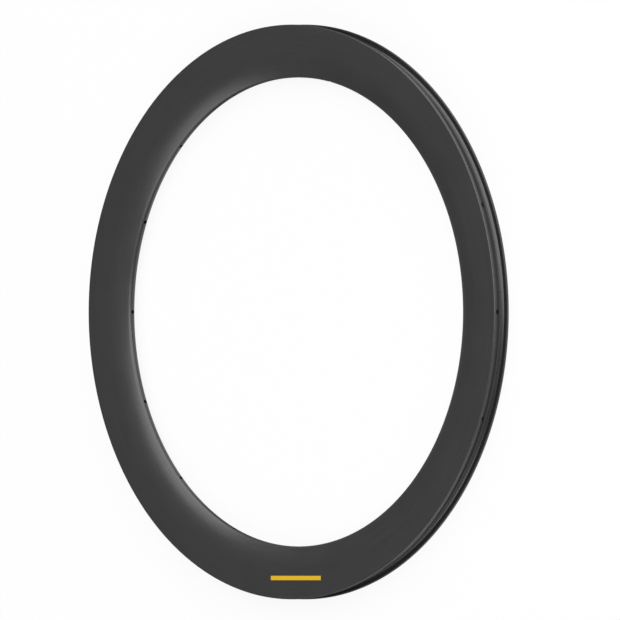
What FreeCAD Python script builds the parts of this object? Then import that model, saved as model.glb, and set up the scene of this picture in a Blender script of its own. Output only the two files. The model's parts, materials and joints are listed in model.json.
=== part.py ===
import FreeCAD
import Part
import math
import os

# Bicycle rim: one hollow moulding with hooked tyre flanges, in millimetres.
# Z is the axle line, the origin is the wheel's centre, and the rim lies on one side wall.

# Overall section, measured along the radius and along the axle
bead_seat_diameter = 622.0
flange_height = 6.0
section_depth = 58.5
section_width = 23.0

# Outer form: a flat brake band, then a taper curve into a round nose
brake_band_height = 28.0
nose_radius = 5.4

# Flange: outer chamfer, lip top, and the hook with the undercut that holds the tyre bead
lip_width = 3.0
lip_chamfer = 0.95
hook_height = 1.8
hook_undercut = 0.9

# Tyre bed: a flat well floor, and a curve up to each bead seat
well_depth = 2.4
well_floor = 7.2

# Walls round the hollow
side_wall = 0.9
bed_wall = 1.5
nose_wall = 2.4

# Holes: spokes seat in the nose, and each one has a wider access hole in the tyre bed
spoke_count = 16
spoke_hole_diameter = 4.2
access_hole_diameter = 6.0
valve_hole_diameter = 6.5
valve_after_spoke = 3
drill_overrun = 2.0

# Main radii from the axle line
seat_r = bead_seat_diameter / 2
rim_r = seat_r + flange_height
nose_r = rim_r - section_depth
half_width = section_width / 2

# The taper curve leaves the brake band and meets the nose round, tangent to both
nose_centre_r = nose_r + nose_radius
taper_start_r = rim_r - brake_band_height
taper_run = taper_start_r - nose_centre_r
taper_radius = (taper_run**2 + half_width**2 - nose_radius**2) / (2 * (half_width - nose_radius))
taper_centre_z = half_width - taper_radius
taper_angle = math.atan2(taper_run, -taper_centre_z)

# The hook overhangs the flange's inner wall, with a 45 degree underside
lip_edge_r = rim_r - lip_chamfer
lip_edge_z = half_width - lip_chamfer
hook_tip_z = half_width - lip_width
hook_tip_r = rim_r - hook_height
flange_wall_z = hook_tip_z + hook_undercut
undercut_r = hook_tip_r - hook_undercut

# Each bed curve leaves the well floor along its tangent and ends at the foot of the flange
well_r = seat_r - well_depth
half_floor = well_floor / 2
bed_bend_z = (half_floor + flange_wall_z) / 2

# The hollow keeps one wall inside the outer form, in straight runs from floor to roof
hollow_side_z = half_width - side_wall
hollow_taper_radius = taper_radius - side_wall
roof_r = well_r - bed_wall
floor_r = nose_r + nose_wall
floor_angle = math.asin((taper_start_r - floor_r) / hollow_taper_radius)
hollow_middle_r = (floor_r + roof_r) / 2

wheel_centre = FreeCAD.Vector(0, 0, 0)
axle = FreeCAD.Vector(0, 0, 1)
half_turn = math.pi
full_turn = 2 * math.pi


def at(r, z):
    """A point of the section, at a radius from the axle and a height above the middle plane."""
    return FreeCAD.Vector(r, 0, z)


def on_round(centre_r, centre_z, radius, angle, side):
    """A point on a round; angle 0 faces away from the middle plane, a quarter turn the axle."""
    return at(centre_r - radius * math.sin(angle), side * (centre_z + radius * math.cos(angle)))


def rounded(centre_r, centre_z, radius, first, last, side=1):
    """An arc of a round from one angle to another, on the upper (1) or lower (-1) flank."""
    angles = (first, (first + last) / 2, last)
    points = [on_round(centre_r, centre_z, radius, angle, side) for angle in angles]
    return Part.Arc(*points).toShape()


def bed_curve(side):
    """The curve from the edge of the well floor to the bead seat."""
    curve = Part.BezierCurve()
    curve.setPoles([
        at(well_r, side * half_floor),
        at(well_r, side * bed_bend_z),
        at(seat_r, side * flange_wall_z),
    ])
    return curve.toShape()


def straights(points):
    """Straight edges from point to point."""
    return Part.makePolygon(points).Edges


def flank(side):
    """One flank of the outside, from the nose up over the hook and down to the well floor."""
    flange = straights([
        at(taper_start_r, side * half_width),
        at(lip_edge_r, side * half_width),
        at(rim_r, side * lip_edge_z),
        at(rim_r, side * hook_tip_z),
        at(hook_tip_r, side * hook_tip_z),
        at(undercut_r, side * flange_wall_z),
        at(seat_r, side * flange_wall_z),
    ])
    taper = rounded(taper_start_r, taper_centre_z, taper_radius, taper_angle, 0, side)
    return [taper] + flange + [bed_curve(side)]


def hollow_side(side):
    """Corners of one side of the hollow, from its floor over the nose to its roof under the bed."""
    tapered = [
        on_round(taper_start_r, taper_centre_z, hollow_taper_radius, angle, side)
        for angle in (floor_angle, floor_angle / 2, 0)
    ]
    return tapered + [at(roof_r, side * hollow_side_z)]


def turned(edges):
    """The solid that a closed section makes when it is turned about the axle."""
    wire = Part.Wire(Part.sortEdges(edges)[0])
    return Part.Face(wire).revolve(wheel_centre, axle, math.degrees(full_turn))


def drill(diameter, first_r, last_r, angle):
    """A round cutter along the radius at one angle of the wheel."""
    outward = FreeCAD.Vector(math.cos(angle), math.sin(angle), 0)
    return Part.makeCylinder(diameter / 2, last_r - first_r, outward * first_r, outward)


def outer_form():
    """The rim's outside: two flanks, joined by the nose round and by the well floor."""
    nose = rounded(nose_centre_r, 0, nose_radius, taper_angle, half_turn - taper_angle)
    floor = straights([at(well_r, half_floor), at(well_r, -half_floor)])
    return turned(flank(1) + floor + flank(-1) + [nose])


def hollow():
    """The closed space inside the section, between the nose and the tyre bed."""
    corners = hollow_side(1) + hollow_side(-1)[::-1]
    return turned(straights(corners + corners[:1]))


def drilled_holes():
    """Cutters for every spoke hole with its access hole, and for the valve hole between two spokes."""
    pitch = full_turn / spoke_count
    inside_r = nose_r - drill_overrun
    outside_r = rim_r + drill_overrun
    cutters = [drill(valve_hole_diameter, inside_r, outside_r, (valve_after_spoke + 0.5) * pitch)]
    for spoke in range(spoke_count):
        cutters.append(drill(spoke_hole_diameter, inside_r, hollow_middle_r, spoke * pitch))
        cutters.append(drill(access_hole_diameter, hollow_middle_r, outside_r, spoke * pitch))
    return cutters


rim = outer_form().cut([hollow()] + drilled_holes())

os.makedirs("parts", exist_ok=True)
rim.exportStep("parts/rim.step")
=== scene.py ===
# %% [markdown]
# A bare bicycle rim is a hoop with a hollow section: two flat side walls, a rounded nose that faces
# the axle, and an open channel with a hooked flange on each side, where the tyre sits. The packed
# solid could be shown with a finish of its own, but its facets would break up the gloss on the nose.
# So a finer hoop is made in its place, to the same sizes. The solid is loaded first, because it
# fixes where everything lies, in metres.

# %% Load the packed rim
import json
import math
import bmesh
import bpy
from mathutils import Matrix, Vector


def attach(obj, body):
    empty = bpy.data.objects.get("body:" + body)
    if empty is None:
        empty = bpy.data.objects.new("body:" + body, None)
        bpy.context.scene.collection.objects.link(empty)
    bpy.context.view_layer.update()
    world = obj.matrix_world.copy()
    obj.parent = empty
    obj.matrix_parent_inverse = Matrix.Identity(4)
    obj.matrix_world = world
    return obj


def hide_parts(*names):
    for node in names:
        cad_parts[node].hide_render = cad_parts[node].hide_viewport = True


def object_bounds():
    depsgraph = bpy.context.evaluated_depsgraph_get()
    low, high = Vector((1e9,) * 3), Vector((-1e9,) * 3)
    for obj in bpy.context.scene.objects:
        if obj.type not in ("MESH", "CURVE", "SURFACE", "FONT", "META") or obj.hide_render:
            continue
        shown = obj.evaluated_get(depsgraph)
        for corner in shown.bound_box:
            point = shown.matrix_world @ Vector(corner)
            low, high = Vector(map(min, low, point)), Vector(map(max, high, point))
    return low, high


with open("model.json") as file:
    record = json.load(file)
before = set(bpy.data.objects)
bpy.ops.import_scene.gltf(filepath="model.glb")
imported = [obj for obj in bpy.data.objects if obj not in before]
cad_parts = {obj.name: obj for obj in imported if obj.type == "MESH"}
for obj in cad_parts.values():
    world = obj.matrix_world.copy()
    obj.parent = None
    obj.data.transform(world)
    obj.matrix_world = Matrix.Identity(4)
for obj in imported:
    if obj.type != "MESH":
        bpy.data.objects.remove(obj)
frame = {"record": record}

cad_box = [list(corner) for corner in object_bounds()]
mounts = {mount["name"]: mount for mount in frame["record"]["mounts"]}
print("packed box", cad_box)
print("mounts", len(mounts))

# %% [markdown]
# A rim's section is known from a few radii, measured from the axle, and a few heights above the
# middle plane. They could be read off the packed mesh, but its corners don't say which size is
# which. So the bead seat and the side wall come from the record's mounts, and the other sizes are
# written as distances from those two. A name that ends in `_r` is such a radius, and one that ends
# in `_z` such a height.

# %% Main sizes of the section
mm = 0.001
flange_height = 6.0 * mm
section_depth = 58.5 * mm
brake_band_height = 28.0 * mm

seat_r = mounts["tyre_bead_seat"]["pos_m"][0]
half_width = -mounts["side_rest"]["pos_m"][2]
rim_r = seat_r + flange_height
nose_r = rim_r - section_depth
taper_start_r = rim_r - brake_band_height
print("outer radius, mm", round(rim_r / mm, 2), "inner", round(nose_r / mm, 2))
print("width, mm", round(2 * half_width / mm, 2))

# %% [markdown]
# Between the flat side wall and the nose, the body narrows in one gentle curve. It could be a spline
# drawn by hand, but even a slight kink shows as a line in the gloss. One arc touches both the wall
# and the nose round without a kink, so its radius is worked out from those two.

# %% Where the taper meets the nose
nose_radius = 5.4 * mm

nose_centre_r = nose_r + nose_radius
taper_run = taper_start_r - nose_centre_r
taper_radius = (taper_run**2 + half_width**2 - nose_radius**2) / (2 * (half_width - nose_radius))
taper_centre_z = half_width - taper_radius
taper_angle = math.atan2(taper_run, -taper_centre_z)
print("taper radius, mm", round(taper_radius / mm, 2))
print("meets the nose at, degrees", round(math.degrees(taper_angle), 1))

# %% Nose and taper
quarter_turn = math.pi / 2
arc_steps = 20


def rounded(centre_r, centre_z, radius, first, last, steps):
    """Points of an arc; angle 0 faces away from the middle plane, a quarter turn faces the axle."""
    angles = [first + (last - first) * step / steps for step in range(steps + 1)]
    return [(centre_r - radius * math.sin(a), centre_z + radius * math.cos(a)) for a in angles]


nose = rounded(nose_centre_r, 0, nose_radius, quarter_turn, taper_angle, arc_steps)
taper = rounded(taper_start_r, taper_centre_z, taper_radius, taper_angle, 0, arc_steps)
print("nose points", len(nose), "taper points", len(taper))

# %% [markdown]
# Each flange ends in a hook, which keeps the tyre's bead from climbing off. Moulded corners are
# never quite sharp, and each one catches a thin line of light. A Bevel modifier could round them on
# the finished hoop, but it would have to find them among many thousand edges. It is simpler to bend
# the corners of the section before it is turned. Bending widens the chamfer on the lip, so the
# chamfer starts a little smaller than the solid's.


# %% Bent and softened corners
def bent(start, bend, end, steps):
    """Points of a curve that leaves its start towards the bend and reaches its end from there."""
    spots = (start, bend, end)
    points = []
    for step in range(steps + 1):
        t = step / steps
        weights = ((1 - t) ** 2, 2 * t * (1 - t), t**2)
        points.append(tuple(sum(w * spot[i] for w, spot in zip(weights, spots)) for i in (0, 1)))
    return points


def softened(corners, softness, steps):
    """A run of straight edges whose inner corners are bent over a short length."""
    points = [corners[0]]
    for before, corner, after in zip(corners, corners[1:], corners[2:]):
        here = Vector(corner)
        start = here + (Vector(before) - here).normalized() * softness
        end = here + (Vector(after) - here).normalized() * softness
        points += bent(start, here, end, steps)
    return points + [corners[-1]]


print("a right angle, softened", softened([(0, 1), (0, 0), (1, 0)], 0.5, 2))

# %% Flange with its hook
lip_width = 3.0 * mm
lip_chamfer = 0.8 * mm
hook_height = 1.8 * mm
hook_undercut = 0.9 * mm
corner_softness = 0.5 * mm
corner_steps = 4

hook_tip_z = half_width - lip_width
hook_tip_r = rim_r - hook_height
flange_wall_z = hook_tip_z + hook_undercut
flange = softened([
    (taper_start_r, half_width),
    (rim_r - lip_chamfer, half_width),
    (rim_r, half_width - lip_chamfer),
    (rim_r, hook_tip_z),
    (hook_tip_r, hook_tip_z),
    (hook_tip_r - hook_undercut, flange_wall_z),
    (seat_r, flange_wall_z),
], corner_softness, corner_steps)
print("flange points", len(flange))

# %% [markdown]
# The tyre bed closes the section: a flat well in the middle, and a curve up to the bead seat on each
# side. The outline could be drawn all the way round, but the two sides of a rim are alike. So one
# half is drawn, from the nose over the hook to the middle of the well, and the other is its mirror
# image, which can't drift away from it.

# %% Outer section
well_depth = 2.4 * mm
half_floor = 3.6 * mm
bed_steps = 12

well_r = seat_r - well_depth
bed_bend = (well_r, (half_floor + flange_wall_z) / 2)
bed = bent((seat_r, flange_wall_z), bed_bend, (well_r, half_floor), bed_steps)
upper_half = nose[:-1] + taper[:-1] + flange[:-1] + bed + [(well_r, 0)]
lower_half = [(r, -z) for r, z in upper_half[-2:0:-1]]
outer_section = upper_half + lower_half
print("outer points", len(outer_section))

# %% [markdown]
# A moulded rim is hollow to save weight. A Solidify modifier could give it walls, but all of one
# thickness, and a nose that spokes pull on is thicker than a side wall. So the hollow has a section
# of its own, one wall inside the outer one. Straight runs will do, because only the drilled holes
# ever show it.

# %% Hollow section
side_wall = 0.9 * mm
bed_wall = 1.5 * mm
nose_wall = 2.4 * mm
hollow_steps = 2

roof_r = well_r - bed_wall
floor_r = nose_r + nose_wall
inner_radius = taper_radius - side_wall
floor_angle = math.asin((taper_start_r - floor_r) / inner_radius)
upper_hollow = rounded(taper_start_r, taper_centre_z, inner_radius, floor_angle, 0, hollow_steps)
upper_hollow += [(roof_r, half_width - side_wall)]
hollow_section = [(r, -z) for r, z in upper_hollow] + upper_hollow[::-1]
print("hollow points", len(hollow_section))

# %% [markdown]
# A rim is the same all the way round, so both sections are turned about the axle. A Screw modifier
# could turn them, but it leaves a seam to be welded where the turn closes. Here each ring of points
# is joined to the next, and the last one to the first, so there is no seam. At 480 rings the outline
# leaves the true circle by less than a hundredth of a millimetre.

# %% Turn a section about the axle
turn_steps = 480


def turned(shape, section):
    """Adds a closed section, turned about the axle, to a mesh under construction."""
    rings = []
    for step in range(turn_steps):
        angle = 2 * math.pi * step / turn_steps
        cos, sin = math.cos(angle), math.sin(angle)
        rings.append([shape.verts.new((r * cos, r * sin, z)) for r, z in section])
    for ring, after in zip(rings, rings[1:] + rings[:1]):
        for here in range(len(section)):
            up = (here + 1) % len(section)
            shape.faces.new((ring[here], ring[up], after[up], after[here]))


print("off the true circle, mm", round(rim_r / mm * (1 - math.cos(math.pi / turn_steps)), 4))

# %% [markdown]
# The outer skin and the skin of the hollow belong to one wall of laminate, so they share one mesh,
# and the faces of the hollow look into the hollow. Recalculate Normals could guess that, but it turns
# every closed shell outwards. The volume that a mesh encloses is a surer guide: the outer skin has to
# count as more than nothing, and the hollow has to take some of it away. The hollow and the recess
# under each hook get the second of the rim's two finishes, whose very dark colour is painted shade.

# %% Join the two skins
second_finish = 1
cubic_cm = 1e-6


def under_hook(face):
    """Whether a face lies in the recess between a hook and its bead seat."""
    x, y, z = face.calc_center_median()
    return seat_r < math.hypot(x, y) < hook_tip_r and abs(z) < half_width - side_wall


def hoop(name, section, hollow):
    """An object made of the outer skin and, facing the other way, the skin of the hollow."""
    shape = bmesh.new()
    turned(shape, section)
    if shape.calc_volume(signed=True) < 0:
        bmesh.ops.reverse_faces(shape, faces=shape.faces[:])
    outer_faces = set(shape.faces)
    outer_volume = shape.calc_volume(signed=True)
    turned(shape, hollow)
    inner_faces = [face for face in shape.faces if face not in outer_faces]
    if shape.calc_volume(signed=True) > outer_volume:
        bmesh.ops.reverse_faces(shape, faces=inner_faces)
    # The hollow and the recess under each hook take the second finish, which paints shade there.
    for face in inner_faces + [face for face in outer_faces if under_hook(face)]:
        face.material_index = second_finish
    piece = bpy.data.objects.new(name, bpy.data.meshes.new(name))
    shape.to_mesh(piece.data)
    print(name, "volume, cubic cm", round(shape.calc_volume(signed=True) / cubic_cm, 1))
    shape.free()
    bpy.context.collection.objects.link(piece)
    return piece


rim = hoop("rim_moulding", outer_section, hollow_section)

# %% [markdown]
# Spokes pull on the nose through small holes, and each nipple is put in through a wider access hole
# in the tyre bed. One more hole, for the valve, goes through both. Dark discs on the surface could
# stand for them, but a real hole has a wall, and from some sides light comes through it. So they are
# drilled, as on the real rim, where the record's mounts say. All the drills share one mesh, and the
# hoop is cut once. Each drill is turned by half a facet, because corners of a drill that fall exactly
# on edges of the hoop leave slivers behind.

# %% One drill
drill_facets = 40
half_facet = Matrix.Rotation(math.pi / drill_facets, 4, "Z")
cutters = bmesh.new()


def drill(mount, hole_radius, first_r, last_r):
    """Adds a round drill along a mount's axis, from one distance to another from the axle."""
    outward = Vector(mount["axis"])
    stance = outward.to_track_quat("Z", "Y").to_matrix().to_4x4() @ half_facet
    stance.translation = outward * (first_r + last_r) / 2
    bmesh.ops.create_cone(cutters, cap_ends=True, segments=drill_facets, radius1=hole_radius,
                          radius2=hole_radius, depth=last_r - first_r, matrix=stance)


print("facets of a drill", drill_facets)

# %% All the drills
access_radius = 3.0 * mm
drill_overrun = 2.0 * mm

inside_r = nose_r - drill_overrun
outside_r = rim_r + drill_overrun
for name, mount in mounts.items():
    if mount["kind"] != "bore":
        continue
    hole_radius = mount["dims"]["r_mm"] * mm
    if name.startswith("spoke"):
        drill(mount, hole_radius, inside_r, floor_r + drill_overrun)
        drill(mount, access_radius, roof_r - drill_overrun, outside_r)
    else:
        drill(mount, hole_radius, inside_r, outside_r)
drills = bpy.data.objects.new("drills", bpy.data.meshes.new("drills"))
cutters.to_mesh(drills.data)
cutters.free()
bpy.context.collection.objects.link(drills)
print("drill faces", len(drills.data.polygons))

# %% [markdown]
# A finish is often a small sum, such as a little of one noise and a little of another. Its nodes
# could be added and linked one by one, but then the sum is hard to see. Here a Wire holds one
# socket, and arithmetic on wires adds the Math nodes, so a finish reads as a formula. Its `node`
# method adds any other kind of node. Colours and vectors get Mix and Vector Math nodes that way,
# because a Math node would turn a colour grey.


# %% Sockets that can be used in sums
def feed(node, sockets):
    """Sets sockets of a node to plain values, or links wires to them."""
    for key, value in sockets.items():
        if isinstance(value, Wire):
            value.tree.links.new(value.socket, node.inputs[key])
        else:
            node.inputs[key].default_value = value


class Wire:
    """One output socket of a node tree; without a socket, a loose end to start from."""

    def __init__(self, tree, socket=None):
        self.tree = tree
        self.socket = socket

    def node(self, kind, settings=None, sockets=None, output=0):
        """Adds a node of this kind, sets it up, feeds its sockets and returns one of its outputs."""
        made = self.tree.nodes.new(kind)
        for name, value in (settings or {}).items():
            setattr(made, name, value)
        feed(made, sockets or {})
        return Wire(self.tree, made.outputs[output])

    def output(self, name):
        """Another output of the same node."""
        return Wire(self.tree, self.socket.node.outputs[name])

    def maths(self, operation, first, second=0.0):
        """A Math node on one or two values."""
        return self.node("ShaderNodeMath", {"operation": operation}, {0: first, 1: second})

    def __add__(self, other):
        return self.maths("ADD", self, other)

    def __radd__(self, other):
        return self.maths("ADD", other, self)

    def __sub__(self, other):
        return self.maths("SUBTRACT", self, other)

    def __rsub__(self, other):
        return self.maths("SUBTRACT", other, self)

    def __mul__(self, other):
        return self.maths("MULTIPLY", self, other)

    def __rmul__(self, other):
        return self.maths("MULTIPLY", other, self)

    def __truediv__(self, other):
        return self.maths("DIVIDE", self, other)

    def __rtruediv__(self, other):
        return self.maths("DIVIDE", other, self)

    def __abs__(self):
        return self.maths("ABSOLUTE", self)


print("operators", [name for name in vars(Wire) if name.startswith("__r")])


# %% A new finish
def new_finish(name):
    """A material with a Principled shader: the material, a loose wire in it, and the shader."""
    finish = bpy.data.materials.new(name)
    finish.use_nodes = True
    return finish, Wire(finish.node_tree), finish.node_tree.nodes["Principled BSDF"]


skin, skin_wires, skin_shader = new_finish("satin_laminate")
print("new finish", skin.name)

# %% [markdown]
# The rim's skin is a fibre laminate whose tows, flat bundles of fibre, run along the hoop. A picture
# of it could be wrapped round the hoop, but that needs a flat map and shows a seam where the turn
# closes. So noise is read at each point of the hoop, drawn out along the turn and kept short across
# it. It goes by the direction from the axle and not by the angle, because an angle jumps where the
# turn closes.


# %% Place on the hoop
def flat_part(place):
    """The part of a place that lies across the axle."""
    return place.node("ShaderNodeVectorMath", {"operation": "MULTIPLY"}, {0: place, 1: (1, 1, 0)})


def from_axle(place):
    """The distance from the axle."""
    flat = flat_part(place)
    return flat.node("ShaderNodeVectorMath", {"operation": "LENGTH"}, {0: flat}, "Value")


skin_place = skin_wires.node("ShaderNodeTexCoord", output="Object")
skin_x = skin_place.node("ShaderNodeSeparateXYZ", None, {0: skin_place})
skin_y, skin_z = skin_x.output("Y"), skin_x.output("Z")
skin_flat = flat_part(skin_place)
direction = skin_flat.node("ShaderNodeVectorMath", {"operation": "NORMALIZE"}, {0: skin_flat})
print("place nodes", len(skin.node_tree.nodes))

# %% Tows, grain and clouds
tow_width, tow_length = 1.3 * mm, 60 * mm
grain_size = 0.35 * mm
cloud_size = 45 * mm
one_tow = 1
tow_detail, grain_detail, cloud_detail = 3, 2, 3


def noise(place, size, detail):
    """Even noise over a place, with spots of about one size."""
    return place.node("ShaderNodeTexNoise", None, {"Vector": place, "Scale": 1 / size, "Detail": detail})


around = rim_r / tow_length
across = (from_axle(skin_place) + skin_z) / tow_width
tow_place = direction.node("ShaderNodeVectorMath", {"operation": "MULTIPLY_ADD"}, {
    0: direction,
    1: (around, around, around),
    2: across.node("ShaderNodeCombineXYZ", None, {"Z": across}),
})
tows = noise(tow_place, one_tow, tow_detail)
grain = noise(skin_place, grain_size, grain_detail)
clouds = noise(skin_place, cloud_size, cloud_detail)
print("tows round the hoop", round(2 * math.pi * around))

# %% [markdown]
# One side wall carries a short bar of yellow ink. It could be a thin piece laid on the wall, but ink
# is far thinner than any mesh that stays clear of the wall behind it. So the bar is a field in the
# colour of the skin, with its bounds in millimetres and a slightly soft edge, as printed ink has.

# %% Bar of ink
ink_yellow = (0.80, 0.48, 0.02, 1)
bar_x, bar_y = 7.0 * mm, -293.4 * mm
bar_length, bar_height = 78.0 * mm, 5.0 * mm
bar_edge = 0.2 * mm
ink_depth = 0.2 * mm


def ramp(value, low, high):
    """0 below one value, 1 above another, and smooth between them."""
    return value.node("ShaderNodeMapRange", {"interpolation_type": "SMOOTHSTEP"},
                      {"Value": value, "From Min": low, "From Max": high})


on_wall = ramp(skin_z, half_width - ink_depth, half_width - ink_depth / 2)
in_length = 1 - ramp(abs(skin_x - bar_x), bar_length / 2 - bar_edge, bar_length / 2)
in_height = 1 - ramp(abs(skin_y - bar_y), bar_height / 2 - bar_edge, bar_height / 2)
ink = on_wall * in_length * in_height
print("bar middle from the axle, mm", round(math.hypot(bar_x, bar_y) / mm, 1))

# %% [markdown]
# Over the fibre lies a thin satin resin, dark grey and a little uneven. A plain dark colour could do
# from far away, but close up it looks like plastic. So the grey varies slightly, mostly with the
# tows, the gloss varies mostly with broad clouds, and a very shallow bump lets the tows show where
# light grazes them.

# %% Shade of the resin
resin_dark = (0.0385, 0.0385, 0.0385, 1)
resin_light = (0.0455, 0.0455, 0.0455, 1)
tows_in_shade, clouds_in_shade, grain_in_shade = 0.6, 0.3, 0.1
shade_low, shade_high = 0.3, 0.7
mix_amount, mix_first, mix_second, mix_colour = 0, 6, 7, 2


def blend(amount, first, second):
    """A colour between two colours; a Mix node's colour sockets come after those for numbers."""
    return amount.node("ShaderNodeMix", {"data_type": "RGBA"},
                       {mix_amount: amount, mix_first: first, mix_second: second}, mix_colour)


shade = tows_in_shade * tows + clouds_in_shade * clouds + grain_in_shade * grain
resin = blend(ramp(shade, shade_low, shade_high), resin_dark, resin_light)
print("resin from", resin_dark[0], "to", resin_light[0])

# %% Skin of satin laminate
resin_ior = 1.68
satin_roughness = 0.26
clouds_in_roughness, tows_in_roughness = 0.07, 0.04
bump_strength = 0.06
bump_depth = 0.05 * mm
tows_in_bump, grain_in_bump = 0.5, 0.5

bump = tows.node("ShaderNodeBump", None, {
    "Strength": bump_strength,
    "Distance": bump_depth,
    "Height": tows_in_bump * tows + grain_in_bump * grain,
})
feed(skin_shader, {
    "Base Color": blend(ink, resin, ink_yellow),
    "Roughness": satin_roughness + clouds_in_roughness * clouds + tows_in_roughness * tows,
    "IOR": resin_ior,
    "Normal": bump,
})
print("skin nodes", len(skin.node_tree.nodes))

# %% [markdown]
# Inside the hollow and on the walls of the holes there is no satin resin, but cut fibre, which is
# rougher. This finish is also kept very dark, and that darkness is painted shade: in the holes, in the
# hollow, and in the recess under each hook, which gets this finish only for its painted shade. The
# walls of the holes could be picked out by their place once they are cut. It is surer to give this
# finish to the drills, because the cut then hands it on to every face that a drill leaves. On the rim
# it comes second, after the skin.

# %% Cut fibre, darkened as painted shade
# Both greys are kept very dark as painted shade for the holes, the hollow and the recess under each
# hook.
fibre_and_shade_dark = (0.008, 0.008, 0.008, 1)
fibre_and_shade_light = (0.022, 0.022, 0.022, 1)
fibre_detail = 3
fibre_roughness, fibres_in_roughness = 0.7, 0.2

shade_and_bare, shade_and_bare_wires, shade_and_bare_shader = new_finish("bare_fibre")
shade_and_bare_place = shade_and_bare_wires.node("ShaderNodeTexCoord", output="Object")
fibres = noise(shade_and_bare_place, grain_size, fibre_detail)
feed(shade_and_bare_shader, {
    "Base Color": blend(fibres, fibre_and_shade_dark, fibre_and_shade_light),
    "Roughness": fibre_roughness + fibres_in_roughness * fibres,
})
for piece, finishes in ((rim, (skin, shade_and_bare)), (drills, (shade_and_bare,))):
    for finish in finishes:
        piece.data.materials.append(finish)
print("bare fibre nodes", len(shade_and_bare.node_tree.nodes))

# %% [markdown]
# Now the holes are cut. The Boolean modifier could stay on the piece, but then it is worked out again
# at every step, so its result becomes the mesh. The exact solver is slower than the fast one, and is
# chosen because it leaves no stray faces where a drill meets a thin wall. Shading is smooth, except
# across sharp edges, so that the nose looks round and the holes look crisp.

# %% Cut the holes
cut = rim.modifiers.new("holes", "BOOLEAN")
cut.operation = "DIFFERENCE"
cut.solver = "EXACT"
cut.material_mode = "TRANSFER"
cut.object = drills
drilled = bpy.data.meshes.new_from_object(rim.evaluated_get(bpy.context.evaluated_depsgraph_get()))
rim.modifiers.clear()
rim.data = drilled
bpy.data.objects.remove(drills)
print("drilled rim", len(drilled.polygons), "faces", [finish.name for finish in drilled.materials])

# %% Shade it, and put it in the solid's place
sharp_angle = 40

drilled.shade_smooth()
drilled.set_sharp_from_angle(angle=math.radians(sharp_angle))
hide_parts("rim")
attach(rim, "root")
print(rim.name, "stands for the solid")

# %% [markdown]
# The rim lies on a wide pale floor. A square would do, but its corners could come into a low view,
# so the floor is a disc that reaches far beyond the frame.

# %% Floor
floor_reach = 20.0
floor_facets = 96

disc = bmesh.new()
bmesh.ops.create_circle(disc, cap_ends=True, segments=floor_facets, radius=floor_reach)
floor = bpy.data.objects.new("floor", bpy.data.meshes.new("floor"))
disc.to_mesh(floor.data)
disc.free()
floor.location.z = cad_box[0][2]
bpy.context.collection.objects.link(floor)
print("floor at, mm", round(floor.location.z / mm, 2))

# %% [markdown]
# The floor should look white. It could be lit until it clips, but that much light would bleach the
# rim. So its material is white only to rays from the camera, by Light Path, and a dark bench to the
# light that it sends back to the rim. A tenth of its own shade is kept, so that the shadow of the
# rim shows. Gloss on the rim sees a share of the white too, most of it close to the rim on its left
# and right, as if a pool of light lay on each side. The glow is kept from counting as a lamp.

# %% Share of the floor in the gloss
gloss_near, gloss_far = 0.75, 0.06
pool_inner, pool_outer = 12 * mm, 55 * mm
sides_inner, sides_outer = 130 * mm, 200 * mm

bench, bench_wires, bench_shader = new_finish("pale_bench")
bench_place = bench_wires.node("ShaderNodeNewGeometry", output="Position")
bench_x = bench_place.node("ShaderNodeSeparateXYZ", None, {0: bench_place})
half_depth = section_depth / 2
off_rim = abs(from_axle(bench_place) - (nose_r + half_depth)) - half_depth
to_the_sides = ramp(abs(bench_x), sides_inner, sides_outer)
pool = (1 - ramp(off_rim, pool_inner, pool_outer)) * to_the_sides
in_gloss = gloss_far + (gloss_near - gloss_far) * pool
print("pools fade out from the rim at, mm", round(pool_outer / mm))

# %% Paint of the floor
bench_grey = (0.10, 0.10, 0.10, 1)
bench_white = (0.95, 0.95, 0.95, 1)
bench_roughness = 0.9
bench_sheen = 0.0


def white_to_camera(wires, gloss_share):
    """1 for a ray from the camera, and a share for one that a glossy or clear surface sends on."""
    ray = wires.node("ShaderNodeLightPath", output="Is Camera Ray")
    return ray + gloss_share * (ray.output("Is Glossy Ray") + ray.output("Is Transmission Ray"))


white_share = white_to_camera(bench_wires, in_gloss)
feed(bench_shader, {
    "Base Color": blend(white_share, bench_grey, bench_white),
    "Roughness": bench_roughness,
    "Specular IOR Level": bench_sheen,
})
print("floor nodes", len(bench.node_tree.nodes))

# %% Glow of the floor
pure_white = (1, 1, 1, 1)
floor_glow = 0.9
glow_amount, plain_shader, glow_shader = 0, 1, 2

glow = bench_wires.node("ShaderNodeEmission", None, {"Color": pure_white})
mixed = bench_wires.node("ShaderNodeMixShader", None, {
    glow_amount: white_share * floor_glow,
    plain_shader: Wire(bench.node_tree, bench_shader.outputs[0]),
    glow_shader: glow,
})
feed(bench.node_tree.nodes["Material Output"], {"Surface": mixed})
bench.cycles.emission_sampling = "NONE"
floor.data.materials.append(bench)
print("floor glow to the camera", floor_glow)

# %% [markdown]
# Round the floor there is only a dim, even world, which fills the darkest recesses. A backdrop wall
# could close the view, but a low camera would look under it. So the world is white to the camera, as
# the floor is, and gloss sees a small share of that, because a satin wall mirrors mostly dark studio.

# %% World
ambient = 0.04
sky_in_gloss = 0.03

world = bpy.data.worlds.new("studio")
world.use_nodes = True
bpy.context.scene.world = world
sky_share = white_to_camera(Wire(world.node_tree), sky_in_gloss)
feed(world.node_tree.nodes["Background"], {
    "Color": pure_white,
    "Strength": ambient + (1 - ambient) * sky_share,
})
print("world nodes", len(world.node_tree.nodes))

# %% [markdown]
# The photograph was taken from so far away that its lines don't converge. A long lens could come
# close to that, but an orthographic camera has no perspective at all, and is fitted with one scale
# and one shift. It looks down on the rim at 45 degrees and is rolled until the hoop's Y axis stands
# upright. A Track To constraint can't hold a roll, so the camera's own axes are written as a matrix.

# %% Camera
frame_pixels = 620
pixels_per_mm = 0.9067
hoop_pixels_right, hoop_pixels_down = 298.69, 311.96
camera_distance = 3.0

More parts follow.
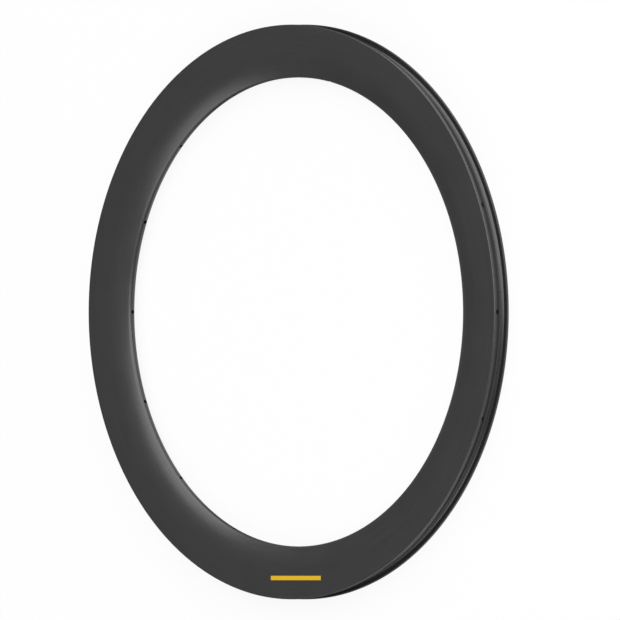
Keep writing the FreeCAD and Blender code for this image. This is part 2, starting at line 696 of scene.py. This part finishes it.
towards_camera = Vector((1, 0, 1)).normalized()
picture_up = Vector((0, 1, 0))
picture_right = picture_up.cross(towards_camera)
right_shift = (frame_pixels / 2 - hoop_pixels_right) / pixels_per_mm * mm
up_shift = (hoop_pixels_down - frame_pixels / 2) / pixels_per_mm * mm
stand = towards_camera * camera_distance + picture_right * right_shift + picture_up * up_shift
facing = Matrix((picture_right, picture_up, towards_camera)).transposed()

camera = bpy.data.objects.new("camera", bpy.data.cameras.new("camera"))
bpy.context.collection.objects.link(camera)
camera.data.type = "ORTHO"
camera.data.ortho_scale = frame_pixels / pixels_per_mm * mm
camera.data.clip_end = 3 * floor_reach
camera.matrix_world = Matrix.Translation(stand) @ facing.to_4x4()
bpy.context.scene.camera = camera
bpy.context.view_layer.update()
print("frame width, mm", round(camera.data.ortho_scale / mm, 1))

# %% [markdown]
# Two softboxes light the rim. A sun could light the flat wall as evenly, but it would leave one hard
# streak on the nose. A wide box shows there as a broad soft band, as studio light does. The boxes
# stand far out, so that the wall is evenly lit from end to end. Each is described as the hoop sees
# it: where it stands, how far it reaches, and how bright it looks. Its power is that brightness
# times its area and pi. The Standard view transform then shows colours as they are written.

# %% Lights
softbox_distance = 8.0


def softbox(name, azimuth, elevation, half_across, half_up, brightness):
    """A flat light far out, facing the hoop; all angles are in degrees, seen from the hoop."""
    lamp = bpy.data.objects.new(name, bpy.data.lights.new(name, "AREA"))
    turn, lift = math.radians(azimuth), math.radians(elevation)
    out = Vector((math.cos(turn) * math.cos(lift), math.sin(turn) * math.cos(lift), math.sin(lift)))
    lamp.data.shape = "RECTANGLE"
    lamp.data.size = 2 * softbox_distance * math.tan(math.radians(half_across))
    lamp.data.size_y = 2 * softbox_distance * math.tan(math.radians(half_up))
    lamp.data.energy = brightness * math.pi * lamp.data.size * lamp.data.size_y
    lamp.location = out * softbox_distance
    lamp.rotation_mode = "QUATERNION"
    lamp.rotation_quaternion = (-out).to_track_quat("-Z", "Y")
    bpy.context.collection.objects.link(lamp)
    print(name, "watts", round(lamp.data.energy))


softbox("wide_softbox", azimuth=57, elevation=31, half_across=52, half_up=46, brightness=2.1)
softbox("narrow_softbox", azimuth=-88, elevation=38, half_across=33, half_up=26.5, brightness=1.52)
bpy.context.scene.view_settings.view_transform = "Standard"

# %% [markdown]
# The dressed rim has to fill the same box as the packed one.
